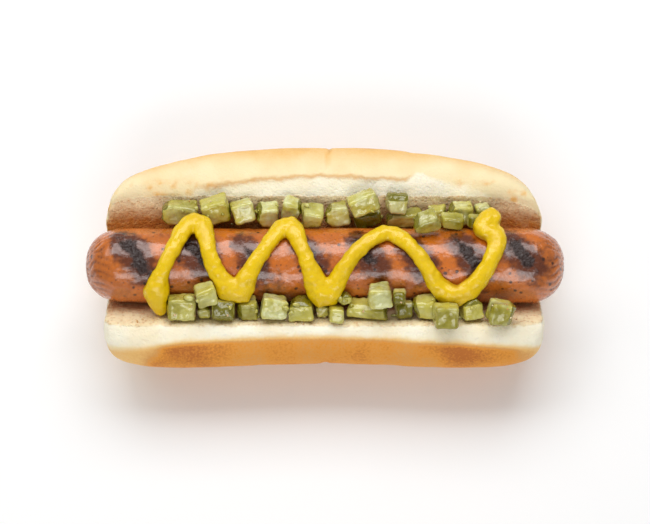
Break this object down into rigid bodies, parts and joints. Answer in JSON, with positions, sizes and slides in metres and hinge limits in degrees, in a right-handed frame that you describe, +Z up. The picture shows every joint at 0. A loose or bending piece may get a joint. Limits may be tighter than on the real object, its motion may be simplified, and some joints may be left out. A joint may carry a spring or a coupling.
{
  "type": "hot dog",
  "caption": "Grilled sausage in a side-cut bun, topped with a zigzag of mustard and rows of diced pickle.",
  "frame": {"origin": "under the middle of the whole, on the plane that the bun rests on", "axes": "+X along the bun, +Y towards the half with the domed crust, +Z up from the table"},
  "size_m": [0.1654, 0.0798, 0.0463],
  "materials": {
    "bread": "soft baked crust with pale, open crumb on the cut faces",
    "sausage": "greasy grilled casing with dark grill marks",
    "mustard": "smooth and wet",
    "pickle": "wet, slightly clear flesh with some darker skin"
  },
  "bodies": {
    "root": {"bun": "bread", "mustard": "mustard", "pickle_dome_side_01": "pickle", "pickle_dome_side_02": "pickle", "pickle_dome_side_03": "pickle", "pickle_dome_side_04": "pickle", "pickle_dome_side_05": "pickle", "pickle_dome_side_06": "pickle", "pickle_dome_side_07": "pickle", "pickle_dome_side_08": "pickle", "pickle_dome_side_09": "pickle", "pickle_dome_side_10": "pickle", "pickle_dome_side_11": "pickle", "pickle_dome_side_12": "pickle", "pickle_dome_side_13": "pickle", "pickle_dome_side_14": "pickle", "pickle_dome_side_15": "pickle", "pickle_dome_side_16": "pickle", "pickle_dome_side_17": "pickle", "pickle_flat_side_01": "pickle", "pickle_flat_side_02": "pickle", "pickle_flat_side_03": "pickle", "pickle_flat_side_04": "pickle", "pickle_flat_side_05": "pickle", "pickle_flat_side_06": "pickle", "pickle_flat_side_07": "pickle", "pickle_flat_side_08": "pickle", "pickle_flat_side_09": "pickle", "pickle_flat_side_10": "pickle", "pickle_flat_side_11": "pickle", "pickle_flat_side_12": "pickle", "pickle_flat_side_13": "pickle", "pickle_flat_side_14": "pickle", "pickle_flat_side_15": "pickle", "pickle_flat_side_16": "pickle", "pickle_flat_side_17": "pickle", "pickle_flat_side_18": "pickle", "sausage": "sausage"}
  },
  "joints": []
}
